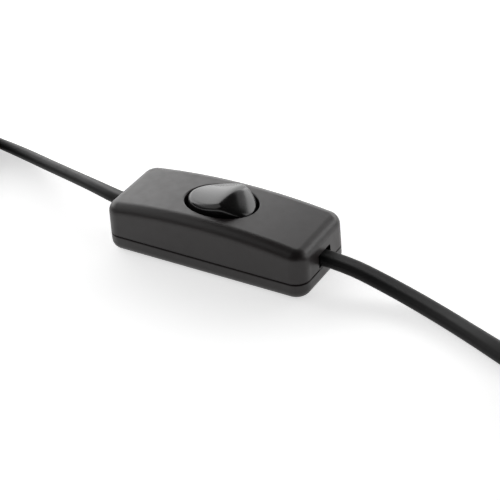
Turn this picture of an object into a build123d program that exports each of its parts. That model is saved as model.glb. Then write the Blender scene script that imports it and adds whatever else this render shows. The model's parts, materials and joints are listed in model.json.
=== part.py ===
from build123d import *
import os
from math import radians, tan

# Flat two-core lamp cord with a rocker switch in its line, a flat two-pin plug at one end
# and stripped cores at the other. Millimetres. The origin is the centre of the switch's
# underside, +X runs along the cord towards the plug, and +Z is up.

os.makedirs("parts", exist_ok=True)

# Switch housing
body_length = 60.0
body_width = 24.0
body_height = 16.0
corner_radius = 4.1
split_height = 4.8
wall = 1.8
floor_thickness = 1.8
top_wall = 1.8
crown_drop = 2.4
cover_edge = 3.0
base_edge = 2.5
parting_edge = 0.35
cover_draft = 1.2
lip_height = 1.2
lip_thickness = 0.9
seat_gap = 0.1

# Cord and the slots that it leaves by
cord_width = 5.2
cord_thickness = 3.1
cord_depth = 9.0
slot_gap = 0.55
slot_corner = 0.5
tongue_gap = 0.15
sheath_end = 19.8
core_diameter = 2.0
core_spacing = 2.5
core_lead = 1.9
core_sweep = 1.5
core_drop = 1.3
strand_diameter = 1.3
neutral_gap = 0.6
neutral_height = 3.6
neutral_shoulder = 5.4
bend_share = 0.45

# Rocker
rocker_half_length = 10.0
rocker_half_width = 7.2
rocker_taper = 3.0
rocker_gap = 0.45
hole_edge = 0.35
rocker_tilt = 8.0
pivot_depth = 4.0
ridge_height = 7.7
tip_height = 3.9
dish_sag = 0.1
rocker_axis_depth = 12.0
ridge_round = 2.8
rocker_rim = 1.6
skirt_drop = 2.0
rocker_wall = 1.4
trunnion_radius = 1.5
trunnion_length = 2.4
running_gap = 0.06
bearing_half_length = 2.8
bearing_clearance = 0.3

# Plunger and its spring, in the rocker's stem
plunger_radius = 1.4
plunger_reach = 6.5
plunger_top = -0.4
stem_radius = 2.8
stem_drop = 2.6
stem_bore_gap = 0.1
spring_chamber_top = 4.0
spring_wire = 0.4
spring_turns = 5

# Contact see-saw and the fixed terminals
bridge_length = 15.0
bridge_width = 5.0
bridge_thickness = 0.6
bridge_flange = 1.0
bridge_tilt = 7.0
plunger_gap = 0.2
contact_place = 6.0
moving_contact_radius = 1.3
moving_contact_height = 0.7
fixed_contact_radius = 1.5
fixed_contact_height = 0.4
strip_thickness = 0.8
saddle_half_length = 3.0
saddle_foot = 1.2
saddle_edge = 0.15
saddle_gap = 0.1
terminal_size = 4.4
terminal_height = 4.0
terminal_hole_height = 1.6
terminal_x = 8.5
terminal_gap = 0.1
terminal_screw_radius = 1.1
terminal_head_radius = 1.9
terminal_head_height = 1.2

# Housing screws, driven from below
screw_x = 13.6
boss_radius = 2.6
base_boss_radius = 4.0
screw_radius = 1.4
screw_pilot_gap = 0.1
screw_length = 9.0
screw_head_radius = 2.7
screw_head_height = 1.8
screw_head_gap = 0.3
screw_recess = 2.3
screw_cross_length = 3.0
screw_cross_width = 0.6
screw_cross_depth = 1.1

# Cord clamps
clamp_x = 23.0
clamp_length = 4.2
clamp_width = 15.0
clamp_thickness = 1.8
clamp_gap = 0.05
pedestal_length = 5.2
clamp_screw_y = 5.4
clamp_screw_radius = 1.1
clamp_screw_depth = 2.6
clamp_head_radius = 2.0
clamp_head_height = 1.3

# Hanks: turns of the cord on edge, side by side and on each other
hank_fold_radius = 15.6
hank_turns_across = 2
turn_pitch = 3.1
hank_lift = 0.6
lamp_hank_length = 84.0
lamp_hank_near = -82.0
lamp_hank_layers = 1
plug_hank_length = 112.0
plug_hank_near = 88.5
plug_hank_layers = 2
tie_width = 7.0
tie_thickness = 0.6
tie_gap = 0.05
lamp_tie_x = -124.0
plug_tie_x = 132.0

# Plug
plug_length = 34.0
plug_width = 35.0
plug_height = 13.7
plug_shoulder = 13.0
plug_neck = 15.0
plug_edge = 2.4
plug_front = 196.0
plug_seat_gap = 0.05
relief_length = 20.0
relief_socket = 7.0
relief_root = 9.6
relief_tip_wall = 1.5
relief_slots = 3
relief_slot_width = 1.6
pin_spacing = 18.6
pin_radius = 2.0
pin_tip_length = 9.0
pin_tip_round = 1.0
pin_core_radius = 1.5
sleeve_length = 10.0
pin_root = 8.0

# Lamp end
lamp_core_length = 30.0
lamp_core_stations = (4.5, 12.0, 21.0)
lamp_core_spacing = 4.25
ferrule_radius = 1.0
ferrule_length = 8.0

# Derived places
crown_radius = ((body_length / 2) ** 2 + crown_drop**2) / (2 * crown_drop)
crown_centre = body_height - crown_radius
inner_length = body_length - 2 * wall
inner_width = body_width - 2 * wall
inner_corner = corner_radius - wall
lip_inner_y = inner_width / 2 - seat_gap - lip_thickness
terminal_y = -(lip_inner_y - terminal_gap - terminal_size / 2)
neutral_y = lip_inner_y - neutral_gap - core_diameter / 2
cord_height = body_height - cord_depth
slot_width = cord_width + 2 * slot_gap
slot_top = cord_height + cord_thickness / 2 + slot_gap
cord_bottom = cord_height - cord_thickness / 2
cord_top = cord_height + cord_thickness / 2
tongue_top = cord_bottom - tongue_gap
pivot_height = body_height - pivot_depth
trunnion_end = rocker_half_width + trunnion_length
hole_half_length = rocker_half_length + rocker_gap
hole_half_width = rocker_half_width + rocker_gap
bearing_start = hole_half_width + bearing_clearance
bearing_bottom = pivot_height - trunnion_radius
bridge_top = pivot_height - plunger_reach - plunger_gap
bridge_bottom = bridge_top - bridge_thickness
strip_top = floor_thickness + strip_thickness
screw_places = [(-screw_x, 0), (screw_x, 0)]
ends = {"left": -1, "right": 1}
hank_outer_radius = hank_fold_radius + turn_pitch * (hank_turns_across - 1) + cord_thickness / 2
hank_inner_radius = hank_fold_radius - cord_thickness / 2

# The rocker leans by its tilt at rest, with its plug-side half pressed down
rocker_plane = Plane((0, 0, pivot_height)).rotated((0, rocker_tilt, 0))
rocker_side = Plane(rocker_plane.origin, x_dir=rocker_plane.x_dir, z_dir=-rocker_plane.y_dir)
bridge_plane = Plane((0, 0, bridge_bottom)).rotated((0, -bridge_tilt, 0))


def soft_bends(points):
    """The largest bend radius that each corner of a route has room for."""
    radii = []
    for before, corner, after in zip(points, points[1:], points[2:]):
        arriving = Vector(corner) - Vector(before)
        leaving = Vector(after) - Vector(corner)
        half_turn = radians(arriving.get_angle(leaving)) / 2
        radii.append(bend_share * min(arriving.length, leaving.length) / tan(half_turn))
    return radii


def section_plane(line):
    """The plane across the start of a route, with its X level."""
    heading = line % 0
    return Plane(line @ 0, x_dir=Vector(0, 0, 1).cross(heading), z_dir=heading)


def tell(name, part, points, section_area, line):
    """Prints a cord's bend radii, and its volume against its section times its length."""
    radii = [round(r, 1) for r in soft_bends(points)]
    length = sum(edge.length for edge in line.edges())
    print(name, "radii", radii, "length", round(length, 1))
    print("volume", round(part.volume, 1), "of", round(section_area * length, 1))


# Base shell: the shallow lower half, with the pedestals under the cord and the screw bosses
with BuildPart() as base_shell:
    with BuildSketch():
        RectangleRounded(body_length, body_width, corner_radius)
    extrude(amount=split_height)
    fillet(base_shell.faces().sort_by(Axis.Z)[0].edges(), base_edge)
    fillet(base_shell.faces().sort_by(Axis.Z)[-1].edges(), parting_edge)
    with BuildSketch(Plane.XY.offset(floor_thickness)):
        RectangleRounded(inner_length, inner_width, inner_corner)
    extrude(amount=split_height, mode=Mode.SUBTRACT)
    # locating lip inside the cover's wall
    with BuildSketch(Plane.XY.offset(floor_thickness)):
        lip_length = inner_length - 2 * seat_gap
        lip_width = inner_width - 2 * seat_gap
        RectangleRounded(lip_length, lip_width, inner_corner - seat_gap)
        RectangleRounded(lip_length - 2 * lip_thickness, lip_width - 2 * lip_thickness,
                         inner_corner - seat_gap - lip_thickness, mode=Mode.SUBTRACT)
    extrude(amount=split_height + lip_height - floor_thickness)
    with BuildSketch(Plane.XY.offset(floor_thickness)):
        RectangleRounded(inner_length, inner_width, inner_corner)
        RectangleRounded(lip_length, lip_width, inner_corner - seat_gap, mode=Mode.SUBTRACT)
    extrude(amount=split_height - floor_thickness)
    with Locations(*[(side * inner_length / 2, 0, tongue_top) for side in ends.values()]):
        Box(2 * wall + 2 * lip_thickness, slot_width, 2 * lip_height,
            align=(Align.CENTER, Align.CENTER, Align.MIN), mode=Mode.SUBTRACT)
    # tongues that close the cover's slots under the cord
    with Locations(*[(side * (body_length - wall) / 2, 0, base_edge) for side in ends.values()]):
        Box(wall, slot_width - 2 * seat_gap, tongue_top - base_edge,
            align=(Align.CENTER, Align.CENTER, Align.MIN))
    # pedestals under the cord, and bosses for the housing screws
    with BuildSketch(Plane.XY.offset(floor_thickness)):
        with Locations(*[(side * clamp_x, 0) for side in ends.values()]):
            Rectangle(pedestal_length, clamp_width)
    extrude(amount=cord_bottom - clamp_gap - floor_thickness)
    with BuildSketch(Plane.XY.offset(floor_thickness)):
        with Locations(*screw_places):
            Circle(base_boss_radius)
    extrude(amount=split_height - floor_thickness)
    with Locations(*[(side * clamp_x, y, cord_bottom - clamp_gap)
                     for side in ends.values() for y in (-clamp_screw_y, clamp_screw_y)]):
        Hole(clamp_screw_radius, depth=clamp_screw_depth)
    with BuildSketch():
        with Locations(*screw_places):
            Circle(screw_head_radius + screw_head_gap)
    extrude(amount=screw_recess, mode=Mode.SUBTRACT)
    with BuildSketch():
        with Locations(*screw_places):
            Circle(screw_radius + screw_pilot_gap)
    extrude(amount=split_height, mode=Mode.SUBTRACT)
base_shell.part.label = "base_shell"
export_step(base_shell.part, "parts/base_shell.step")

# The hollow of the cover, less the screw bosses and the rocker's bearing blocks
with BuildPart() as cover_hollow:
    with BuildSketch(Plane.XY.offset(split_height)):
        RectangleRounded(inner_length, inner_width, inner_corner)
        with Locations(*screw_places):
            Circle(boss_radius, mode=Mode.SUBTRACT)
    extrude(amount=body_height - split_height)
    with BuildSketch(Plane.XZ):
        with Locations((0, crown_centre)):
            Circle(crown_radius - top_wall)
    extrude(amount=body_width, both=True, mode=Mode.INTERSECT)
    bearing_depth = inner_width / 2 - bearing_start
    with Locations(*[(0, side * (bearing_start + bearing_depth / 2), bearing_bottom) for side in (-1, 1)]):
        Box(2 * bearing_half_length, bearing_depth, body_height,
            align=(Align.CENTER, Align.CENTER, Align.MIN), mode=Mode.SUBTRACT)

# Top cover: the deep upper half, arched lengthways, with the oval rocker hole
with BuildPart() as top_cover:
    with BuildSketch(Plane.XY.offset(split_height)):
        RectangleRounded(body_length, body_width, corner_radius)
    extrude(amount=body_height - split_height, taper=cover_draft)
    with BuildSketch(Plane.XZ):
        with Locations((0, crown_centre)):
            Circle(crown_radius)
    extrude(amount=body_width, both=True, mode=Mode.INTERSECT)
    fillet(top_cover.faces().sort_by(Axis.Z)[-1].edges(), cover_edge)
    fillet(top_cover.faces().sort_by(Axis.Z)[0].edges(), parting_edge)
    add(cover_hollow.part, mode=Mode.SUBTRACT)
    with BuildSketch(Plane.XY.offset(pivot_height)):
        Ellipse(hole_half_length, hole_half_width)
    extrude(amount=body_height, mode=Mode.SUBTRACT)
    hole_rim = top_cover.faces().sort_by(Axis.Z)[-1].inner_wires()[0].edges()
    fillet(hole_rim, hole_edge)
    # slots over the cord in both end walls
    for side in ends.values():
        with BuildSketch(Plane.YZ.offset(side * (body_length / 2 - 2 * wall))):
            with Locations((0, (slot_top + floor_thickness) / 2)):
                RectangleRounded(slot_width, slot_top - floor_thickness, slot_corner)
        extrude(amount=side * 3 * wall, mode=Mode.SUBTRACT)
    # open half-round bearings for the rocker's trunnions
    with BuildSketch(Plane.XZ):
        with Locations((0, pivot_height)):
            Circle(trunnion_radius + running_gap)
        with Locations((0, pivot_height - trunnion_radius)):
            Rectangle(2 * (trunnion_radius + running_gap), 2 * trunnion_radius)
    extrude(amount=trunnion_end + seat_gap, both=True, mode=Mode.SUBTRACT)
    with BuildSketch(Plane.XY.offset(split_height)):
        with Locations(*screw_places):
            Circle(screw_radius)
    extrude(amount=screw_length + screw_recess - split_height + seat_gap, mode=Mode.SUBTRACT)
top_cover.part.label = "top_cover"
export_step(top_cover.part, "parts/top_cover.step")


def rocker_form(inset):
    """The rocker's form drawn in by an inset: a tapered oval under a ridge turned about a line below."""
    foot = -rocker_axis_depth
    with BuildPart() as crown:
        with BuildSketch(rocker_side) as profile:
            with BuildLine():
                ridge = (0, ridge_height - inset)
                for side in (-1, 1):
                    tip = (side * rocker_half_length, tip_height - inset)
                    SagittaArc(ridge, tip, -side * dish_sag)
                    Line(tip, (tip[0], foot))
                Line((-rocker_half_length, foot), (rocker_half_length, foot))
            make_face()
            fillet(profile.vertices().sort_by(Axis.Y)[-1], ridge_round)
        revolve(axis=Axis(rocker_plane.offset(foot).origin, rocker_plane.x_dir))
    with BuildPart() as form:
        with BuildSketch(rocker_plane.offset(-skirt_drop)):
            Ellipse(rocker_half_length - inset, rocker_half_width - inset)
        extrude(amount=skirt_drop + ridge_height, taper=rocker_taper)
        add(crown.part, mode=Mode.INTERSECT)
    return form.part


# Rocker: an oval with a shallow finger dish each side of its ridge, hollow below, on two trunnions
with BuildPart() as rocker_hollow:
    add(rocker_form(rocker_wall))
    with BuildSketch(rocker_plane.offset(-skirt_drop)):
        Circle(stem_radius)
    extrude(amount=skirt_drop + ridge_height, mode=Mode.SUBTRACT)

with BuildPart() as rocker:
    add(rocker_form(0))
    rim = [e for e in rocker.edges() if e.geom_type != GeomType.CIRCLE
           and rocker_plane.to_local_coords(e.center()).Z > tip_height - rocker_rim]
    fillet(rim, rocker_rim)
    add(rocker_hollow.part, mode=Mode.SUBTRACT)
    with BuildSketch(rocker_plane.offset(-stem_drop)):
        Circle(stem_radius)
    extrude(amount=stem_drop)
    with BuildSketch(rocker_plane.offset(-stem_drop)):
        Circle(plunger_radius + stem_bore_gap)
    extrude(amount=stem_drop + spring_chamber_top, mode=Mode.SUBTRACT)
    for side in (-1, 1):
        with BuildSketch(Plane.XZ.offset(side * (rocker_half_width - rocker_wall / 2))):
            with Locations((0, pivot_height)):
                Circle(trunnion_radius)
        extrude(amount=side * (trunnion_length + rocker_wall / 2))
rocker.part.label = "rocker"
export_step(rocker.part, "parts/rocker.step")

# Plunger: a round-nosed pin that the spring presses onto the contact see-saw
with BuildPart() as plunger:
    with BuildSketch(rocker_side):
        with BuildLine():
            nose = -plunger_reach + plunger_radius
            Line((0, plunger_top), (plunger_radius, plunger_top))
            Line((plunger_radius, plunger_top), (plunger_radius, nose))
            CenterArc((0, nose), plunger_radius, 0, -90)
            Line((0, -plunger_reach), (0, plunger_top))
        make_face()
    revolve(axis=Axis(rocker_plane.origin, rocker_plane.z_dir))
plunger.part.label = "plunger"
export_step(plunger.part, "parts/plunger.step")

# Plunger spring: an open coil between the plunger and the end of its bore
spring_radius = plunger_radius - spring_wire
spring_start = plunger_top + spring_wire / 2 + running_gap
spring_height = spring_chamber_top - spring_wire / 2 - running_gap - spring_start
with BuildPart() as plunger_spring:
    with BuildLine():
        coil = Helix(spring_height / spring_turns, spring_height, spring_radius,
                     center=rocker_plane.offset(spring_start).origin, direction=rocker_plane.z_dir)
    with BuildSketch(Plane(coil @ 0, z_dir=coil % 0)):
        Circle(spring_wire / 2)
    sweep(path=coil, is_frenet=True)
plunger_spring.part.label = "plunger_spring"
export_step(plunger_spring.part, "parts/plunger_spring.step")

# Contact bridge: a channel-shaped see-saw plate, down at its lamp end while the switch is off
with BuildPart() as contact_bridge:
    with BuildSketch(bridge_plane):
        Rectangle(bridge_length, bridge_width)
    extrude(amount=bridge_thickness + bridge_flange)
    with BuildSketch(bridge_plane.offset(bridge_thickness)):
        Rectangle(bridge_length, bridge_width - 2 * bridge_thickness)
    extrude(amount=bridge_flange, mode=Mode.SUBTRACT)
contact_bridge.part.label = "contact_bridge"
export_step(contact_bridge.part, "parts/contact_bridge.step")

with BuildPart() as moving_contact:
    with BuildSketch(bridge_plane):
        with Locations((contact_place, 0)):
            Circle(moving_contact_radius)
    extrude(amount=-moving_contact_height)
moving_contact.part.label = "moving_contact"
export_step(moving_contact.part, "parts/moving_contact.step")


wire_height = strip_top + terminal_hole_height
block_top = strip_top + terminal_height
strip_reach = bridge_width / 2 - terminal_y

# Wire clamp: the block that both terminals carry, with its cross hole and screw hole
with BuildPart() as wire_clamp:
    with BuildSketch():
        Rectangle(terminal_size, terminal_size)
    extrude(amount=terminal_height)
    with BuildSketch(Plane.YZ):
        with Locations((0, wire_height - strip_top)):
            Circle(strand_diameter / 2 + seat_gap)
    extrude(amount=terminal_size, both=True, mode=Mode.SUBTRACT)
    with BuildSketch(Plane.XY.offset(wire_height - strip_top)):
        Circle(terminal_screw_radius)
    extrude(amount=terminal_height, mode=Mode.SUBTRACT)

# Saddle terminal: the knife edge that the see-saw rocks on, with the lamp-side wire clamp
with BuildPart() as saddle_terminal:
    with BuildSketch(Plane.XY.offset(floor_thickness)):
        with Locations((0, bridge_width / 2)):
            Rectangle(2 * saddle_half_length, strip_reach, align=(Align.CENTER, Align.MAX))
        with Locations((-terminal_x, terminal_y)):
            Rectangle(terminal_x + saddle_half_length, terminal_size, align=(Align.MIN, Align.CENTER))
    extrude(amount=strip_thickness)
    with BuildSketch(Plane.XZ):
        edge_height = bridge_bottom - saddle_gap
        with BuildLine():
            Polyline((-saddle_foot, strip_top), (saddle_foot, strip_top), (saddle_edge, edge_height),
                     (-saddle_edge, edge_height), close=True)
        make_face()
    extrude(amount=bridge_width / 2, both=True)
    with Locations((-terminal_x, terminal_y, strip_top)):
        add(wire_clamp.part)
saddle_terminal.part.label = "saddle_terminal"
export_step(saddle_terminal.part, "parts/saddle_terminal.step")

# Contact terminal: the fixed contact's strip, with the plug-side wire clamp
with BuildPart() as contact_terminal:
    with BuildSketch(Plane.XY.offset(floor_thickness)):
        with Locations((contact_place, bridge_width / 2)):
            Rectangle(terminal_size - strip_thickness, strip_reach, align=(Align.CENTER, Align.MAX))
        with Locations((terminal_x, terminal_y)):
            Rectangle(terminal_size, terminal_size)
    extrude(amount=strip_thickness)
    with Locations((terminal_x, terminal_y, strip_top)):
        add(wire_clamp.part)
contact_terminal.part.label = "contact_terminal"
export_step(contact_terminal.part, "parts/contact_terminal.step")

with BuildPart() as fixed_contact:
    with BuildSketch(Plane.XY.offset(strip_top)):
        with Locations((contact_place, 0)):
            Circle(fixed_contact_radius)
    extrude(amount=fixed_contact_height)
fixed_contact.part.label = "fixed_contact"
export_step(fixed_contact.part, "parts/fixed_contact.step")

# Terminal screws: slotted heads, tips down on the wires
wire_top = wire_height + strand_diameter / 2
with BuildPart() as terminal_screws:
    terminal_places = [(-terminal_x, terminal_y), (terminal_x, terminal_y)]
    with BuildSketch(Plane.XY.offset(wire_top)):
        with Locations(*terminal_places):
            Circle(terminal_screw_radius)
    extrude(amount=block_top - wire_top + seat_gap)
    with BuildSketch(Plane.XY.offset(block_top + seat_gap)):
        with Locations(*terminal_places):
            Circle(terminal_head_radius)
    extrude(amount=terminal_head_height)
    with Locations(*[(x, y, block_top + seat_gap + terminal_head_height) for x, y in terminal_places]):
        Box(2 * terminal_head_radius, terminal_screw_radius / 2, terminal_head_height, mode=Mode.SUBTRACT)
terminal_screws.part.label = "terminal_screws"
export_step(terminal_screws.part, "parts/terminal_screws.step")

# Housing screws: pan heads in the base's recesses
with BuildPart() as housing_screws:
    with BuildSketch(Plane.XY.offset(screw_recess - screw_head_height)):
        with Locations(*screw_places):
            Circle(screw_head_radius)
    extrude(amount=screw_head_height)
    with BuildSketch(Plane.XY.offset(screw_recess)):
        with Locations(*screw_places):
            Circle(screw_radius)
    extrude(amount=screw_length)
    with BuildSketch(Plane.XY.offset(screw_recess - screw_head_height)):
        with Locations(*screw_places):
            Rectangle(screw_cross_length, screw_cross_width)
            Rectangle(screw_cross_width, screw_cross_length)
    extrude(amount=screw_cross_depth, mode=Mode.SUBTRACT)
housing_screws.part.label = "housing_screws"
export_step(housing_screws.part, "parts/housing_screws.step")

# Cord clamps: a bar across the cord at each end
bar_bottom = cord_top + clamp_gap
for name, side in ends.items():
    with BuildPart() as cord_clamp:
        with BuildSketch(Plane.XY.offset(bar_bottom)):
            with Locations((side * clamp_x, 0)):
                RectangleRounded(clamp_length, clamp_width, clamp_length / 4)
                with Locations((0, -clamp_screw_y), (0, clamp_screw_y)):
                    Circle(clamp_screw_radius + seat_gap, mode=Mode.SUBTRACT)
        extrude(amount=clamp_thickness)
    cord_clamp.part.label = f"cord_clamp_{name}"
    export_step(cord_clamp.part, f"parts/cord_clamp_{name}.step")

with BuildPart() as clamp_screws:
    clamp_places = [(side * clamp_x, y) for side in ends.values() for y in (-clamp_screw_y, clamp_screw_y)]
    clamp_screw_tip = cord_bottom - clamp_gap - clamp_screw_depth
    with BuildSketch(Plane.XY.offset(clamp_screw_tip)):
        with Locations(*clamp_places):
            Circle(clamp_screw_radius)
    extrude(amount=bar_bottom + clamp_thickness - clamp_screw_tip)
    with BuildSketch(Plane.XY.offset(bar_bottom + clamp_thickness)):
        with Locations(*clamp_places):
            Circle(clamp_head_radius)
    extrude(amount=clamp_head_height)
    with Locations(*[(x, y, bar_bottom + clamp_thickness + clamp_head_height) for x, y in clamp_places]):
        Box(clamp_screw_radius / 2, 2 * clamp_head_radius, clamp_head_height, mode=Mode.SUBTRACT)
clamp_screws.part.label = "clamp_screws"
export_step(clamp_screws.part, "parts/clamp_screws.step")

# Cores inside the switch: the live one is cut at the terminals, the neutral one runs through
core_y = core_spacing / 2
block_face = terminal_x + terminal_size / 2
core_stop = block_face + 2 * seat_gap
for name, side in ends.items():
    with BuildPart() as live_core:
        core_points = [(side * sheath_end, -core_y, cord_height),
                       (side * (sheath_end - core_lead), -core_y, cord_height),
                       (side * (core_stop + 2 * core_lead), terminal_y + core_sweep, wire_height + core_drop),
                       (side * (core_stop + core_lead), terminal_y, wire_height),
                       (side * core_stop, terminal_y, wire_height)]
        with BuildLine() as core_line:
            FilletPolyline(*core_points, radius=soft_bends(core_points))
        with BuildSketch(section_plane(core_line.line)):
            Circle(core_diameter / 2)
        sweep(path=core_line.line)
    live_core.part.label = f"live_core_{name}"
    export_step(live_core.part, f"parts/live_core_{name}.step")

with BuildPart() as wire_ends:
    strand_length = core_stop - terminal_x + terminal_size / 4
    for side in ends.values():
        with BuildSketch(Plane.YZ.offset(side * core_stop)):
            with Locations((terminal_y, wire_height)):
                Circle(strand_diameter / 2)
        extrude(amount=-side * strand_length)
wire_ends.part.label = "wire_ends"
export_step(wire_ends.part, "parts/wire_ends.step")

with BuildPart() as neutral_core:
    lamp_half = [(-sheath_end, core_y, cord_height),
                 (-sheath_end + core_lead, core_y, cord_height),
                 (-screw_x - core_diameter / 2, neutral_y - core_diameter, neutral_shoulder),
                 (-terminal_x - core_diameter / 2, neutral_y, neutral_height)]
    neutral_points = lamp_half + [(-x, y, z) for x, y, z in reversed(lamp_half)]
    with BuildLine() as neutral_line:
        FilletPolyline(*neutral_points, radius=soft_bends(neutral_points))
    with BuildSketch(section_plane(neutral_line.line)):
        Circle(core_diameter / 2)
    sweep(path=neutral_line.line)
neutral_core.part.label = "neutral_core"
export_step(neutral_core.part, "parts/neutral_core.step")

# Free cord: flat on the surface as far as the hanks
lamp_points = [(-sheath_end, 0, cord_height), (-34, 0, cord_height), (-48, 5.6, 5.2), (-63, 11.4, 2.9),
               (-78, 15.6, 1.65), (-92, 17.5, 1.9), (-105, 17.6, 3.2)]
plug_points = [(sheath_end, 0, cord_height), (34.5, 0, cord_height), (48, 0.1, 3.4), (62, -2.9, 1.65),
               (76, -8.4, 1.6), (89, -14.0, 1.8), (99.5, -17.1, 2.6), (109.5, -17.6, 3.2)]
for name, points in {"cord_left": lamp_points, "cord_right": plug_points}.items():
    with BuildPart() as cord:
        with BuildLine() as cord_line:
            FilletPolyline(*points, radius=soft_bends(points))
        with BuildSketch(section_plane(cord_line.line)) as cord_section:
            SlotOverall(cord_width, cord_thickness)
        sweep(path=cord_line.line)
    cord.part.label = name
    export_step(cord.part, f"parts/{name}.step")
    tell(name, cord.part, points, cord_section.sketch.area, cord_line.line)

# Hanks: the outer shape of the wound cord, and a tie round the turns of one run
hanks = {
    "left": (lamp_hank_near - lamp_hank_length / 2, lamp_hank_length, lamp_hank_layers, lamp_tie_x),
    "right": (plug_hank_near + plug_hank_length / 2, plug_hank_length, plug_hank_layers, plug_tie_x),
}
hank_wall = hank_outer_radius - hank_inner_radius
for name, (middle, length, layers, tie_x) in hanks.items():
    with BuildPart() as hank:
        with BuildSketch(Plane.XY.offset(hank_lift)):
            with Locations((middle, 0)):
                SlotOverall(length, 2 * hank_outer_radius)
                SlotOverall(length - 2 * hank_wall, 2 * hank_inner_radius, mode=Mode.SUBTRACT)
        extrude(amount=layers * cord_width)
    hank.part.label = f"hank_{name}"
    export_step(hank.part, f"parts/hank_{name}.step")

    run_y = -(hank_outer_radius + hank_inner_radius) / 2
    opening = hank_wall + 2 * tie_gap, layers * cord_width + 2 * tie_gap
    tie_middle = hank_lift + layers * cord_width / 2
    with BuildPart() as hank_tie:
        with BuildSketch(Plane.YZ.offset(tie_x)):
            with Locations((run_y, tie_middle)):
                RectangleRounded(opening[0] + 2 * tie_thickness, opening[1] + 2 * tie_thickness,
                                 tie_thickness)
                Rectangle(*opening, mode=Mode.SUBTRACT)
        extrude(amount=tie_width / 2, both=True)
    hank_tie.part.label = f"hank_tie_{name}"
    export_step(hank_tie.part, f"parts/hank_tie_{name}.step")

# Plug: a flat two-pin body lying on its hank, tapering to a notched cord relief
plug_bottom = hank_lift + plug_hank_layers * cord_width + plug_seat_gap
plug_axis_height = plug_bottom + plug_height / 2
plug_back = plug_front - plug_length
relief_end = plug_back - relief_length
with BuildPart() as plug_body:
    with BuildSketch(Plane.XY.offset(plug_bottom)):
        with BuildLine():
            Polyline((plug_front, -plug_width / 2), (plug_front, plug_width / 2),
                     (plug_front - plug_shoulder, plug_width / 2), (plug_back, plug_neck / 2),
                     (plug_back, -plug_neck / 2), (plug_front - plug_shoulder, -plug_width / 2), close=True)
        make_face()
    extrude(amount=plug_height)
    fillet(plug_body.edges().filter_by(Axis.Z), plug_edge)
    fillet(plug_body.edges().group_by(Axis.Z)[0] + plug_body.edges().group_by(Axis.Z)[-1], plug_edge / 2)
    with BuildSketch(Plane.YZ.offset(plug_back + plug_edge)) as relief_base:
        with Locations((0, plug_axis_height)):
            SlotOverall(relief_root + 2 * relief_tip_wall, relief_root)
    with BuildSketch(Plane.YZ.offset(relief_end)) as relief_tip:
        with Locations((0, plug_axis_height)):
            SlotOverall(cord_width + 2 * relief_tip_wall, cord_thickness + 2 * relief_tip_wall)
    loft(sections=[relief_base.sketch, relief_tip.sketch])
    slot_step = relief_length / (relief_slots + 1)
    for slot in range(relief_slots):
        notch_x = relief_end + slot_step * (slot + 1)
        with Locations(*[(notch_x, side * relief_root, plug_axis_height) for side in (-1, 1)]):
            Box(relief_slot_width, 2 * relief_root - cord_width - relief_tip_wall, relief_root,
                mode=Mode.SUBTRACT)
    with BuildSketch(Plane.YZ.offset(relief_end)):
        with Locations((0, plug_axis_height)):
            SlotOverall(cord_width, cord_thickness)
    extrude(amount=relief_socket, mode=Mode.SUBTRACT)
    with BuildSketch(Plane.YZ.offset(plug_front)):
        with Locations((-pin_spacing / 2, plug_axis_height), (pin_spacing / 2, plug_axis_height)):
            Circle(pin_core_radius)
    extrude(amount=-pin_root, mode=Mode.SUBTRACT)
plug_body.part.label = "plug_body"
export_step(plug_body.part, "parts/plug_body.step")

pin_places = [(-pin_spacing / 2, plug_axis_height), (pin_spacing / 2, plug_axis_height)]
with BuildPart() as plug_pins:
    with BuildSketch(Plane.YZ.offset(plug_front - pin_root)):
        with Locations(*pin_places):
            Circle(pin_core_radius)
    extrude(amount=pin_root + sleeve_length)
    with BuildSketch(Plane.YZ.offset(plug_front + sleeve_length)):
        with Locations(*pin_places):
            Circle(pin_radius)
    extrude(amount=pin_tip_length)
    fillet(plug_pins.edges().group_by(Axis.X)[-1], pin_tip_round)
plug_pins.part.label = "plug_pins"
export_step(plug_pins.part, "parts/plug_pins.step")

with BuildPart() as pin_sleeves:
    with BuildSketch(Plane.YZ.offset(plug_front)):
        with Locations(*pin_places):
            Circle(pin_radius)
            Circle(pin_core_radius, mode=Mode.SUBTRACT)
    extrude(amount=sleeve_length)
pin_sleeves.part.label = "pin_sleeves"
export_step(pin_sleeves.part, "parts/pin_sleeves.step")

# Plug lead: off the top of the hank and into the relief
lead_points = [(108.75, -12.5, 12.75), (119.5, -9.0, 13.6), (129.5, -2.9, 15.8), (139.5, 0, 17.7),
               (relief_end + relief_socket, 0, plug_axis_height)]
with BuildPart() as plug_lead:
    with BuildLine() as lead_line:
        FilletPolyline(*lead_points, radius=soft_bends(lead_points))
    with BuildSketch(section_plane(lead_line.line)) as lead_section:
        SlotOverall(cord_width, cord_thickness)
    sweep(path=lead_line.line)
plug_lead.part.label = "plug_lead"
export_step(plug_lead.part, "parts/plug_lead.step")
tell("plug_lead", plug_lead.part, lead_points, lead_section.sketch.area, lead_line.line)

# Lamp end: the sheath stops on the hank, and the two cores run on to their ferrules
tail_height = hank_lift + lamp_hank_layers * cord_width + cord_thickness / 2 + tie_gap
tail_points = [(-96, 14.2, tail_height), (-107, 16.7, tail_height), (-117, 17.2, tail_height),
               (-127, 17.2, tail_height)]
with BuildPart() as lamp_tail:
    with BuildLine() as tail_line:
        FilletPolyline(*tail_points, radius=soft_bends(tail_points))
    with BuildSketch(section_plane(tail_line.line)) as tail_section:
        SlotOverall(cord_width, cord_thickness)
    sweep(path=tail_line.line)
lamp_tail.part.label = "lamp_tail"
export_step(lamp_tail.part, "parts/lamp_tail.step")
tell("lamp_tail", lamp_tail.part, tail_points, tail_section.sketch.area, tail_line.line)

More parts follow.
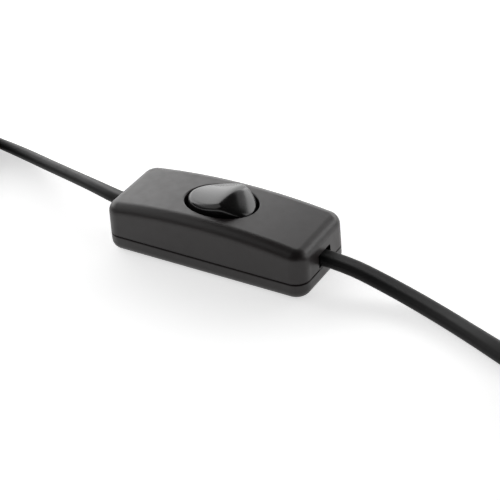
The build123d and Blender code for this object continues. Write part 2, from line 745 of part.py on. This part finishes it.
core_height = hank_lift + lamp_hank_layers * cord_width + core_diameter / 2 + tie_gap
tail_end = tail_points[-1]
lamp_cores = {"brown": -1, "blue": 1}
for name, side in lamp_cores.items():
    near_y = tail_end[1] + side * core_y
    far_y = tail_end[1] + side * lamp_core_spacing / 2
    start, middle, parted = (tail_end[0] - station for station in lamp_core_stations)
    core_points = [(tail_end[0], near_y, tail_height), (start, near_y, tail_height),
                   (middle, (near_y + far_y) / 2, core_height), (parted, far_y, core_height),
                   (tail_end[0] - lamp_core_length, far_y, core_height)]
    with BuildPart() as lamp_core:
        with BuildLine() as core_line:
            FilletPolyline(*core_points, radius=soft_bends(core_points))
        with BuildSketch(section_plane(core_line.line)):
            Circle(core_diameter / 2)
        sweep(path=core_line.line)
    lamp_core.part.label = f"lamp_core_{name}"
    export_step(lamp_core.part, f"parts/lamp_core_{name}.step")

with BuildPart() as lamp_ferrules:
    for side in lamp_cores.values():
        with BuildSketch(Plane.YZ.offset(tail_end[0] - lamp_core_length)):
            with Locations((tail_end[1] + side * lamp_core_spacing / 2, core_height)):
                Circle(ferrule_radius)
        extrude(amount=-ferrule_length)
lamp_ferrules.part.label = "lamp_ferrules"
export_step(lamp_ferrules.part, "parts/lamp_ferrules.step")
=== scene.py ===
import json
from math import cos, pi, radians, sin

import bpy
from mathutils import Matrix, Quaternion, Vector


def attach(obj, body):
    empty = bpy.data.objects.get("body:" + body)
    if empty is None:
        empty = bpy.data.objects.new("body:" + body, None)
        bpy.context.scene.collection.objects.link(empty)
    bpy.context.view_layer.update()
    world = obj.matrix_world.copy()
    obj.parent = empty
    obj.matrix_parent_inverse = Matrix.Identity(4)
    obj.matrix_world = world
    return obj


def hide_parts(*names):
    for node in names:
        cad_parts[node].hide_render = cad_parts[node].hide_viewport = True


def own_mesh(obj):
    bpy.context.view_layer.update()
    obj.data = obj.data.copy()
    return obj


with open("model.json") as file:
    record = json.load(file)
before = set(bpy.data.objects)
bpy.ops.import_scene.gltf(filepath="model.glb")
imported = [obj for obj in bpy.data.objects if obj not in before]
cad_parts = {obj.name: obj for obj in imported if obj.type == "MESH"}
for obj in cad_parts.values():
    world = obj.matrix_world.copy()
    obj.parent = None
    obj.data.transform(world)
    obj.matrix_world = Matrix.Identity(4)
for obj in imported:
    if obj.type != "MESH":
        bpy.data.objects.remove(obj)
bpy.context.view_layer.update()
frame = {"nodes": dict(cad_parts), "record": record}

MM = 0.001

# Camera, fitted to the photograph's 500 x 500 frame
CAMERA_AZIMUTH = 33.65
CAMERA_ELEVATION = 33.14
CAMERA_ROLL = -5.01
CAMERA_DISTANCE = 0.41929
CAMERA_TARGET = Vector((0, 0, 0.00797))
CAMERA_LENS = 115.05
CAMERA_SHIFT = (0.0527, -0.0469)

# Flat cord
CORD_WIDTH = 5.2
CORD_THICKNESS = 3.1
CORD_HEIGHT = 7.0
SHEATH_END = 19.8

# Hanks
FOLD_RADIUS = 15.6
TURN_PITCH = 3.1
HANK_LIFT = 0.6
LAMP_HANK_NEAR = -82.0
LAMP_HANK_LENGTH = 84.0
PLUG_HANK_NEAR = 88.5
PLUG_HANK_LENGTH = 112.0
PLUG_AXIS_HEIGHT = 17.9
RELIEF_END = 142.0
RELIEF_SOCKET = 7.0


def deselect():
    """Nothing selected, so that the next operator acts on its own piece alone."""
    if bpy.context.object and bpy.context.object.mode != "OBJECT":
        bpy.ops.object.mode_set(mode="OBJECT")
    bpy.ops.object.select_all(action="DESELECT")


# Stage

def make_camera():
    azimuth, elevation = radians(CAMERA_AZIMUTH), radians(CAMERA_ELEVATION)
    back = Vector((sin(azimuth) * cos(elevation), -cos(azimuth) * cos(elevation), sin(elevation)))
    deselect()
    bpy.ops.object.camera_add(location=CAMERA_TARGET + back * CAMERA_DISTANCE)
    camera = bpy.context.object
    camera.name = "camera"
    camera.rotation_mode = "QUATERNION"
    level = (-back).to_track_quat("-Z", "Y")
    camera.rotation_quaternion = level @ Quaternion((0, 0, 1), radians(CAMERA_ROLL))
    camera.data.lens = CAMERA_LENS
    camera.data.shift_x, camera.data.shift_y = CAMERA_SHIFT
    camera.data.clip_start = 0.01
    camera.data.clip_end = 20
    bpy.context.scene.camera = camera


FLOOR_SIZE = 6
# just under the part, so that the two don't share a plane
FLOOR_DROP = 0.00005
FLOOR_COLOUR = 0.88
FLOOR_ROUGHNESS = 0.8
FLOOR_GLOSS = 0.1
# what is added to the floor's own light where the camera, a gloss or a glass sees it
FLOOR_LIFT = 0.62


def make_floor():
    """A white sheet that keeps the shadow, lifted to white for the camera and in what mirrors it."""
    deselect()
    bpy.ops.mesh.primitive_plane_add(size=FLOOR_SIZE, location=(0, 0, -FLOOR_DROP))
    floor = bpy.context.object
    floor.name = "floor"
    material = bpy.data.materials.new("floor_white")
    material.use_nodes = True
    tree = material.node_tree
    shader = tree.nodes["Principled BSDF"]
    shader.inputs["Base Color"].default_value = (FLOOR_COLOUR, FLOOR_COLOUR, FLOOR_COLOUR, 1)
    shader.inputs["Roughness"].default_value = FLOOR_ROUGHNESS
    shader.inputs["Specular IOR Level"].default_value = FLOOR_GLOSS
    shader.inputs["Emission Color"].default_value = (1, 1, 1, 1)
    path = tree.nodes.new("ShaderNodeLightPath")
    seen = path.outputs["Is Camera Ray"]
    for ray in ("Is Glossy Ray", "Is Transmission Ray"):
        either = tree.nodes.new("ShaderNodeMath")
        either.operation = "MAXIMUM"
        tree.links.new(seen, either.inputs[0])
        tree.links.new(path.outputs[ray], either.inputs[1])
        seen = either.outputs[0]
    lift = tree.nodes.new("ShaderNodeMath")
    lift.operation = "MULTIPLY"
    lift.inputs[1].default_value = FLOOR_LIFT
    tree.links.new(seen, lift.inputs[0])
    tree.links.new(lift.outputs[0], shader.inputs["Emission Strength"])
    floor.data.materials.append(material)


# name, azimuth, elevation, distance, width and height, radiance, in degrees and metres
SOFTBOXES = [
    ("back_softbox", -47, 22.4, 1.2, (2.55, 0.9), 2.65),
    ("right_back_low", 24, 19, 1.2, (0.95, 0.46), 3.6),
    ("right_back_high", 16, 37, 1.2, (1.0, 0.3), 0.8),
    ("left_softbox", -120, 40, 1.0, (1.1, 0.85), 0.8),
    ("right_softbox", 62, 14, 1.3, (0.6, 0.6), 2.0),
]
WORLD_LIGHT = 0.04


def make_softbox(name, azimuth, elevation, distance, size, radiance):
    """A softbox that faces the switch. Azimuth 0 is straight behind it, and positive to the right."""
    azimuth, elevation = radians(azimuth), radians(elevation)
    towards = Vector((sin(azimuth) * cos(elevation), cos(azimuth) * cos(elevation), sin(elevation)))
    deselect()
    bpy.ops.object.light_add(type="AREA", location=towards * distance)
    lamp = bpy.context.object
    lamp.name = name
    lamp.data.shape = "RECTANGLE"
    lamp.data.size, lamp.data.size_y = size
    lamp.data.energy = radiance * pi * size[0] * size[1]
    lamp.rotation_euler = towards.to_track_quat("Z", "Y").to_euler()


def make_lights():
    for softbox in SOFTBOXES:
        make_softbox(*softbox)
    world = bpy.data.worlds.new("studio")
    world.use_nodes = True
    background = world.node_tree.nodes["Background"]
    background.inputs["Color"].default_value = (1, 1, 1, 1)
    background.inputs["Strength"].default_value = WORLD_LIGHT
    bpy.context.scene.world = world


# Finishes. Sizes of grain and mottling are in millimetres.

MOTTLE_SIZE = 9
MOTTLE_SHADES = (0.88, 1.12)
PATCH_SIZE = 2.5
PATCH_ROUGHNESS = 0.04
PLASTIC_GLOSS = 0.5
# the groove between cover and base, where shade is painted: its height, the lowered gloss that paints the
# shade, and where that starts and ends to rise
GROOVE_HEIGHT = 4.8
GROOVE_SHADE_GLOSS = 0.14
GROOVE_SHADE_FADE = (0.2, 0.45)


def start_finish(name, colour, roughness):
    material = bpy.data.materials.new(name)
    material.use_nodes = True
    tree = material.node_tree
    shader = tree.nodes["Principled BSDF"]
    shader.inputs["Base Color"].default_value = (*colour, 1)
    shader.inputs["Roughness"].default_value = roughness
    place = tree.nodes.new("ShaderNodeTexCoord").outputs["Object"]
    return material, tree, shader, place


def stretch(tree, place, scale):
    """The same coordinates, drawn out along the axes whose scale is small."""
    mapping = tree.nodes.new("ShaderNodeMapping")
    mapping.inputs["Scale"].default_value = scale
    tree.links.new(place, mapping.inputs["Vector"])
    return mapping.outputs["Vector"]


def noise(tree, place, size, detail=2.0):
    node = tree.nodes.new("ShaderNodeTexNoise")
    node.inputs["Scale"].default_value = 1 / (size * MM)
    node.inputs["Detail"].default_value = detail
    tree.links.new(place, node.inputs["Vector"])
    return node.outputs["Fac"]


def spread(tree, value, low, high, socket):
    """Sends a noise to a socket as numbers from low to high."""
    node = tree.nodes.new("ShaderNodeMapRange")
    node.inputs["From Min"].default_value = 0.3
    node.inputs["From Max"].default_value = 0.7
    node.inputs["To Min"].default_value = low
    node.inputs["To Max"].default_value = high
    tree.links.new(value, node.inputs["Value"])
    tree.links.new(node.outputs["Result"], socket)


def mottle(tree, value, dark, light, socket):
    """Sends a noise to a colour socket as a blend of two colours."""
    node = tree.nodes.new("ShaderNodeValToRGB")
    node.color_ramp.elements[0].position = 0.3
    node.color_ramp.elements[1].position = 0.7
    node.color_ramp.elements[0].color = (*dark, 1)
    node.color_ramp.elements[1].color = (*light, 1)
    tree.links.new(value, node.inputs["Fac"])
    tree.links.new(node.outputs["Color"], socket)


def bump(tree, height, depth, shader):
    """Presses a height pattern, depth millimetres deep, into the surface over any bump it has."""
    node = tree.nodes.new("ShaderNodeBump")
    node.inputs["Distance"].default_value = depth * MM
    tree.links.new(height, node.inputs["Height"])
    below = shader.inputs["Normal"].links
    if below:
        tree.links.new(below[0].from_socket, node.inputs["Normal"])
    tree.links.new(node.outputs["Normal"], shader.inputs["Normal"])


def shade(colour, factor):
    return tuple(channel * factor for channel in colour)


def moulded_plastic(name, colour, roughness, grain, depth, gloss=PLASTIC_GLOSS):
    """Moulded plastic with a fine grain, slightly uneven in colour and gloss."""
    material, tree, shader, place = start_finish(name, colour, roughness)
    shader.inputs["Specular IOR Level"].default_value = gloss
    dark, light = [shade(colour, factor) for factor in MOTTLE_SHADES]
    mottle(tree, noise(tree, place, MOTTLE_SIZE, 3), dark, light, shader.inputs["Base Color"])
    patches = noise(tree, place, PATCH_SIZE, 3)
    spread(tree, patches, roughness - PATCH_ROUGHNESS, roughness + PATCH_ROUGHNESS,
           shader.inputs["Roughness"])
    bump(tree, noise(tree, place, grain, 3), depth, shader)
    return material


def housing_plastic_groove_shade():
    """The housing's plastic, with painted shade in the groove between cover and base: its gloss is lowered
    there so that the groove renders darker.
    """
    material = moulded_plastic("housing_plastic_groove_shade", (0.016, 0.012, 0.0118), 0.4, 0.3, 0.003)
    tree = material.node_tree
    split = tree.nodes.new("ShaderNodeSeparateXYZ")
    tree.links.new(tree.nodes.new("ShaderNodeTexCoord").outputs["Object"], split.inputs[0])
    above = tree.nodes.new("ShaderNodeMath")
    above.operation = "SUBTRACT"
    above.inputs[1].default_value = GROOVE_HEIGHT * MM
    tree.links.new(split.outputs["Z"], above.inputs[0])
    away = tree.nodes.new("ShaderNodeMath")
    away.operation = "ABSOLUTE"
    tree.links.new(above.outputs[0], away.inputs[0])
    # painted shade in the groove: the gloss drops near the groove's height, so that the line there renders
    # darker
    gloss = tree.nodes.new("ShaderNodeMapRange")
    gloss.inputs["From Min"].default_value = GROOVE_SHADE_FADE[0] * MM
    gloss.inputs["From Max"].default_value = GROOVE_SHADE_FADE[1] * MM
    gloss.inputs["To Min"].default_value = GROOVE_SHADE_GLOSS
    gloss.inputs["To Max"].default_value = PLASTIC_GLOSS
    tree.links.new(away.outputs[0], gloss.inputs["Value"])
    tree.links.new(gloss.outputs["Result"], tree.nodes["Principled BSDF"].inputs["Specular IOR Level"])
    return material


def metal(name, colour, roughness, brush, depth):
    """Bare or plated metal, with fine lines along the axis that brush leaves long."""
    material, tree, shader, place = start_finish(name, colour, roughness)
    shader.inputs["Metallic"].default_value = 1
    lines = noise(tree, stretch(tree, place, brush), 0.12, 2)
    mottle(tree, noise(tree, place, 4, 3), shade(colour, 0.9), colour, shader.inputs["Base Color"])
    spread(tree, lines, roughness - 0.06, roughness + 0.08, shader.inputs["Roughness"])
    bump(tree, lines, depth, shader)
    return material


def bare_strands(name, colour):
    """Twisted copper strands."""
    material, tree, shader, place = start_finish(name, colour, 0.32)
    shader.inputs["Metallic"].default_value = 1
    twist = tree.nodes.new("ShaderNodeTexWave")
    twist.bands_direction = "DIAGONAL"
    twist.inputs["Scale"].default_value = 1 / (1.6 * MM)
    tree.links.new(place, twist.inputs["Vector"])
    mottle(tree, twist.outputs["Fac"], shade(colour, 0.45), colour, shader.inputs["Base Color"])
    bump(tree, twist.outputs["Fac"], 0.08, shader)
    return material


def make_finishes():
    """One finish for each material slot of the record."""
    return {
        "housing": housing_plastic_groove_shade(),
        "rocker": moulded_plastic("rocker_plastic", (0.01, 0.0095, 0.0095), 0.18, 0.4, 0.002),
        "cord": moulded_plastic("cord_sheath", (0.018, 0.0176, 0.0176), 0.5, 0.8, 0.01, gloss=0.2),
        "plug": moulded_plastic("plug_plastic", (0.024, 0.023, 0.023), 0.4, 0.35, 0.012),
        "tie": moulded_plastic("tie_plastic", (0.03, 0.03, 0.03), 0.35, 0.5, 0.012),
        "nylon": moulded_plastic("plunger_nylon", (0.78, 0.76, 0.7), 0.4, 0.4, 0.004),
        "clamp": moulded_plastic("clamp_plastic", (0.42, 0.42, 0.4), 0.45, 0.4, 0.006),
        "brass": metal("strip_brass", (0.78, 0.58, 0.27), 0.28, (0.05, 1, 1), 0.003),
        "silver": metal("contact_silver", (0.86, 0.85, 0.82), 0.22, (1, 1, 1), 0.002),
        "steel": metal("zinc_steel", (0.66, 0.66, 0.64), 0.3, (1, 1, 0.05), 0.003),
        "pin_metal": metal("pin_nickel", (0.78, 0.76, 0.71), 0.16, (0.05, 1, 1), 0.001),
        "live": moulded_plastic("live_insulation", (0.17, 0.07, 0.03), 0.4, 0.6, 0.006),
        "neutral": moulded_plastic("neutral_insulation", (0.035, 0.1, 0.32), 0.4, 0.6, 0.006),
        "copper": bare_strands("copper_strands", (0.8, 0.42, 0.26)),
    }


def dress_nodes(finishes):
    for subpart in frame["record"]["subparts"]:
        node = frame["nodes"][subpart["node"]]
        node.data.materials.clear()
        node.data.materials.append(finishes[subpart["material_slot"]])


# Cords

# the length of a Bezier handle for a quarter of a circle of radius 1
ROUND_HANDLE = 0.5523


def make_cord_profile():
    """The cord's flat section, a stadium drawn as four corner points and two round ends."""
    curve = bpy.data.curves.new("cord_section", "CURVE")
    curve.dimensions = "2D"
    curve.resolution_u = 8
    spline = curve.splines.new("BEZIER")
    round_end = CORD_THICKNESS / 2
    straight = CORD_WIDTH / 2 - round_end
    handle = round_end * ROUND_HANDLE
    # point, handle before it, handle after it
    corners = [
        ((straight, -round_end), (-straight, 0), (handle, 0)),
        ((straight + round_end, 0), (0, -handle), (0, handle)),
        ((straight, round_end), (handle, 0), (-straight, 0)),
        ((-straight, round_end), (straight, 0), (-handle, 0)),
        ((-straight - round_end, 0), (0, handle), (0, -handle)),
        ((-straight, -round_end), (-handle, 0), (straight, 0)),
    ]
    spline.bezier_points.add(len(corners) - 1)
    for point, (place, before, after) in zip(spline.bezier_points, corners):
        middle = Vector((*place, 0)) * MM
        point.co = middle
        point.handle_left_type = point.handle_right_type = "FREE"
        point.handle_left = middle + Vector((*before, 0)) * MM
        point.handle_right = middle + Vector((*after, 0)) * MM
    spline.use_cyclic_u = True
    profile = bpy.data.objects.new("cord_section", curve)
    bpy.context.scene.collection.objects.link(profile)
    profile.hide_render = True
    return profile


def make_cord(name, points, profile, finish):
    """A cord through (x, y, z, tilt in degrees) points: flat at tilt 0, on edge at 90."""
    curve = bpy.data.curves.new(name, "CURVE")
    curve.dimensions = "3D"
    curve.twist_mode = "Z_UP"
    curve.bevel_mode = "OBJECT"
    curve.bevel_object = profile
    curve.use_fill_caps = True
    curve.resolution_u = 6
    spline = curve.splines.new("NURBS")
    spline.points.add(len(points) - 1)
    for point, (x, y, z, tilt) in zip(spline.points, points):
        point.co = (x * MM, y * MM, z * MM, 1)
        point.tilt = radians(tilt)
    spline.order_u = 3
    spline.use_endpoint_u = True
    spline.use_smooth = True
    curve.materials.append(finish)
    cord = bpy.data.objects.new(name, curve)
    bpy.context.scene.collection.objects.link(cord)
    return cord


FOLD_STEPS = 8
# a spline of order 3 runs inside its points, by this share on a fold's points
FOLD_STRETCH = 1 / (0.75 + 0.25 * cos(pi / FOLD_STEPS))
RUN_STEPS = 3
OUTER = FOLD_RADIUS + TURN_PITCH
INNER = FOLD_RADIUS
BOTTOM = HANK_LIFT + CORD_WIDTH / 2
TOP = BOTTOM + CORD_WIDTH
OVER = TOP + CORD_WIDTH


def ease(value, start, end):
    """0 before start, 1 after end, and smooth between them."""
    share = min(max((value - start) / (end - start), 0), 1)
    return share * share * (3 - 2 * share)


def racetrack(place, radius, near_x, far_x):
    """The point at a place on one turn, counter-clockwise from above.

    Places 0 to 1 are the near run, 1 to 2 the far fold, 2 to 3 the far run, 3 to 4 the near fold.
    """
    leg, share = int(place) % 4, place - int(place)
    if leg == 0:
        return near_x + (far_x - near_x) * share, -radius
    if leg == 1:
        angle = -pi / 2 + pi * share
        return far_x + radius * FOLD_STRETCH * cos(angle), radius * FOLD_STRETCH * sin(angle)
    if leg == 2:
        return far_x + (near_x - far_x) * share, radius
    angle = pi / 2 + pi * share
    return near_x + radius * FOLD_STRETCH * cos(angle), radius * FOLD_STRETCH * sin(angle)


def wind(start, end, near_x, far_x, radius_at, height_at):
    """The points of a hank's turns between two places, on edge."""
    points = []
    leg = start
    while leg < end:
        steps = FOLD_STEPS if leg % 2 else RUN_STEPS
        for step in range(steps):
            place = leg + (step + 0.5) / steps
            x, y = racetrack(place, radius_at(place), near_x, far_x)
            points.append((x, y, height_at(place), 90))
        leg += 1
    return points


def plug_cord_points():
    near_x = PLUG_HANK_NEAR + OUTER + CORD_THICKNESS / 2
    far_x = PLUG_HANK_NEAR + PLUG_HANK_LENGTH - OUTER - CORD_THICKNESS / 2
    # outer bottom turn, inner bottom, inner top, outer top, then up onto the top

    def radius_at(place):
        inwards = ease(place, 3.5, 4.0)
        outwards = ease(place, 10.5, 11.0)
        return OUTER + (INNER - OUTER) * (inwards - outwards)

    def height_at(place):
        up = ease(place, 7.0, 7.5)
        over = ease(place, 14.0, 14.5)
        return BOTTOM + CORD_WIDTH * (up + over)

    free = [(SHEATH_END, 0, CORD_HEIGHT, 0), (34.5, 0, CORD_HEIGHT, 0), (48, 0.1, 3.4, 0),
            (62, -2.9, 1.65, 0), (76, -8.4, 1.6, 0), (89, -14.3, 2.1, 25), (99.5, -17.9, 2.9, 75)]
    turns = wind(0, 15, near_x, far_x, radius_at, height_at)
    # the last fold lies on the others and is tighter, to come out nearer the plug
    fold = [(x, y + OUTER - INNER, z, tilt) for x, y, z, tilt in
            wind(15, 16, near_x, far_x, lambda place: INNER, lambda place: OVER)]
    lead = [(119.5, -9.0, 14.2, 75), (129.5, -2.9, 15.9, 35), (139.5, 0, 17.7, 0),
            (RELIEF_END + RELIEF_SOCKET, 0, PLUG_AXIS_HEIGHT, 0)]
    return free + turns + fold + lead


def lamp_cord_points():
    near_x = LAMP_HANK_NEAR - OUTER - CORD_THICKNESS / 2
    far_x = LAMP_HANK_NEAR - LAMP_HANK_LENGTH + OUTER + CORD_THICKNESS / 2
    # the outer turn, the inner one, then up onto the top, wound as on the plug's side and turned half round

    def radius_at(place):
        return OUTER + (INNER - OUTER) * ease(place, 3.5, 4.0) + TURN_PITCH / 2 * ease(place, 7.5, 8.0)

    def height_at(place):
        return BOTTOM + CORD_WIDTH * ease(place, 7.0, 7.5) - ease(place, 7.5, 8.0)

    free = [(-SHEATH_END, 0, CORD_HEIGHT, 0), (-32, 0.4, 7.5, 12), (-42, 3.2, 7.2, 26),
            (-55, 8.0, 5.3, 32), (-67, 12.5, 3.4, 32), (-79, 16.2, 2.4, 34), (-90, 18.2, 2.4, 40),
            (-100, 18.8, 2.9, 80)]
    turned = wind(0, 8, -near_x, -far_x, radius_at, height_at)
    turns = [(-x, -y, z, tilt) for x, y, z, tilt in turned]
    tail = [(-107, 17.2, 7.5, 50), (-115, 17.2, 7.4, 10), (-121, 17.2, 7.4, 0), (-127, 17.2, 7.4, 0)]
    return free + turns + tail


def make_cords(finish):
    profile = make_cord_profile()
    plug_cord = make_cord("plug_cord", plug_cord_points(), profile, finish)
    lamp_cord = make_cord("lamp_cord", lamp_cord_points(), profile, finish)
    for cord, nodes in ((plug_cord, ("cord_right", "hank_right", "plug_lead")),
                        (lamp_cord, ("cord_left", "hank_left", "lamp_tail"))):
        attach(cord, "housing")
        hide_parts(*nodes)


# Rocker

ROCKER_PIVOT = (0, 0, 12.0)
ROCKER_TILT = 8.0
# half length and half width at the rim, and at the skirt's foot
ROCKER_RIM_SIZE = (9.95, 6.6)
ROCKER_FOOT_SIZE = (10.0, 7.2)
ROCKER_FOOT = -2.0
ROCKER_WALL = 1.2
RIDGE_PLACE = 2.5
RIDGE_HEIGHT = 8.65
RIDGE_BLEND = 1.4
TIP_HEIGHT = 3.6
DISH_SAG = 0.3
FLANK_BULGE = 0.5
ARCH_RADIUS = 20.0
# at the two ends and along the sides
RIM_RADII = (1.2, 1.35)
STEM_RADII = (1.5, 2.8)
STEM_FOOT = -2.6
# inside the wall of the dish, where that is lowest over the stem
STEM_TOP = 5.5
STEM_CHAMBER_TOP = 4.0
TRUNNION_RADIUS = 1.5
TRUNNION_END = 9.6
TRUNNION_EDGE = 0.2
CAP_SEGMENTS = 160
CAP_RINGS = 96
ROUND_SIDES = 48
SMOOTH_ANGLE = 40


def chord(x, tip_x, bulge):
    """The height on the line from a tip to the ridge, bowed up in its middle by the bulge."""
    share = (x - tip_x) / (RIDGE_PLACE - tip_x)
    return TIP_HEIGHT + (RIDGE_HEIGHT - TIP_HEIGHT) * share + 4 * bulge * share * (1 - share)


def rocker_height(x, y, from_rim, rim_radius):
    """The rocker's top: a hollow dish and a full flank that meet at a ridge, rounded at the rim."""
    dish = chord(x, -ROCKER_RIM_SIZE[0], -DISH_SAG)
    flank = chord(x, ROCKER_RIM_SIZE[0], FLANK_BULGE)
    gap = dish - flank
    ridge = (dish + flank - (gap * gap + RIDGE_BLEND * RIDGE_BLEND) ** 0.5) / 2
    inside = max(rim_radius - from_rim, 0)
    rim = rim_radius - max(rim_radius ** 2 - inside ** 2, 0) ** 0.5
    return ridge - y * y / (2 * ARCH_RADIUS) - rim


def make_cap():
    """The rocker's shell: a half sphere drawn to the top's heights, with a skirt and a wall."""
    deselect()
    bpy.ops.mesh.primitive_uv_sphere_add(segments=CAP_SEGMENTS, ring_count=CAP_RINGS, radius=1)
    cap = bpy.context.object
    cap.name = "rocker_cap"
    bpy.ops.object.mode_set(mode="EDIT")
    bpy.ops.mesh.select_all(action="SELECT")
    bpy.ops.mesh.bisect(plane_co=(0, 0, 0), plane_no=(0, 0, 1), clear_inner=True)
    bpy.ops.object.mode_set(mode="OBJECT")
    for vertex in cap.data.vertices:
        x, y = vertex.co.x * ROCKER_RIM_SIZE[0], vertex.co.y * ROCKER_RIM_SIZE[1]
        reach = (x * x + y * y) ** 0.5
        share = (vertex.co.x ** 2 + vertex.co.y ** 2) ** 0.5
        from_rim = reach / share - reach if share else ROCKER_RIM_SIZE[1]
        sideways = (vertex.co.y / share) ** 2 if share else 0
        rim_radius = RIM_RADII[0] + (RIM_RADII[1] - RIM_RADII[0]) * sideways
        vertex.co = Vector((x, y, rocker_height(x, y, from_rim, rim_radius))) * MM
    flare = [foot / rim for foot, rim in zip(ROCKER_FOOT_SIZE, ROCKER_RIM_SIZE)]
    bpy.ops.object.mode_set(mode="EDIT")
    bpy.ops.mesh.select_all(action="DESELECT")
    bpy.ops.mesh.select_mode(type="EDGE")
    bpy.ops.mesh.select_non_manifold()
    bpy.ops.mesh.extrude_edges_move()
    bpy.ops.transform.resize(value=(*flare, 0), center_override=(0, 0, 0))
    bpy.ops.transform.translate(value=(0, 0, ROCKER_FOOT * MM))
    bpy.ops.mesh.select_all(action="SELECT")
    bpy.ops.mesh.normals_make_consistent(inside=False)
    bpy.ops.object.mode_set(mode="OBJECT")
    shell = cap.modifiers.new("shell", "SOLIDIFY")
    shell.thickness = ROCKER_WALL * MM
    shell.offset = -1
    bpy.ops.object.modifier_apply(modifier="shell")
    return cap


def make_stem():
    """The tube under the cap that the plunger and its spring run in, open below."""
    inner, outer = STEM_RADII
    stem_length = STEM_TOP - STEM_FOOT
    deselect()
    bpy.ops.mesh.primitive_cylinder_add(vertices=ROUND_SIDES, radius=outer * MM, depth=stem_length * MM,
                                        location=(0, 0, (STEM_FOOT + stem_length / 2) * MM))
    stem = bpy.context.object
    bpy.ops.object.mode_set(mode="EDIT")
    bpy.ops.mesh.select_all(action="DESELECT")
    bpy.ops.mesh.select_mode(type="FACE")
    bpy.ops.object.mode_set(mode="OBJECT")
    for face in stem.data.polygons:
        face.select = face.normal.z < -0.5
    bpy.ops.object.mode_set(mode="EDIT")
    bpy.ops.mesh.inset(thickness=(outer - inner) * MM)
    bpy.ops.mesh.extrude_region_move(
        TRANSFORM_OT_translate={"value": (0, 0, (STEM_CHAMBER_TOP - STEM_FOOT) * MM)})
    bpy.ops.object.mode_set(mode="OBJECT")
    return stem


def make_trunnion(side):
    """One of the two pins that the rocker turns on, from inside the skirt's wall."""
    wall_middle = ROCKER_FOOT_SIZE[1] - ROCKER_WALL / 2
    middle = side * (TRUNNION_END + wall_middle) / 2
    deselect()
    bpy.ops.mesh.primitive_cylinder_add(vertices=ROUND_SIDES, radius=TRUNNION_RADIUS * MM,
                                        depth=(TRUNNION_END - wall_middle) * MM,
                                        rotation=(pi / 2, 0, 0), location=(0, middle * MM, 0))
    trunnion = bpy.context.object
    bevel = trunnion.modifiers.new("edge", "BEVEL")
    bevel.width = TRUNNION_EDGE * MM
    bevel.segments = 2
    bpy.ops.object.modifier_apply(modifier="edge")
    return trunnion


def make_rocker(finish):
    """The rocker as the photo shows it: its ridge off the middle, a hollow dish and a full flank."""
    cap = make_cap()
    pieces = [cap, make_stem(), make_trunnion(-1), make_trunnion(1)]
    deselect()
    for piece in pieces:
        piece.select_set(True)
    bpy.context.view_layer.objects.active = cap
    bpy.ops.object.join()
    cap.rotation_euler = (0, radians(ROCKER_TILT), 0)
    cap.location = Vector(ROCKER_PIVOT) * MM
    bpy.ops.object.transform_apply(location=True, rotation=True, scale=True)
    bpy.ops.object.shade_smooth_by_angle(angle=radians(SMOOTH_ANGLE))
    cap.data.materials.clear()
    cap.data.materials.append(finish)
    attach(cap, "rocker")
    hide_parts("rocker")


def squeeze_spring():
    """Gives the plunger's spring a mesh of its own."""
    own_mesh(frame["nodes"]["plunger_spring"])


make_camera()
make_floor()
make_lights()
finishes = make_finishes()
dress_nodes(finishes)
make_rocker(finishes["rocker"])
squeeze_spring()
make_cords(finishes["cord"])

bpy.context.scene.view_settings.view_transform = "Standard"
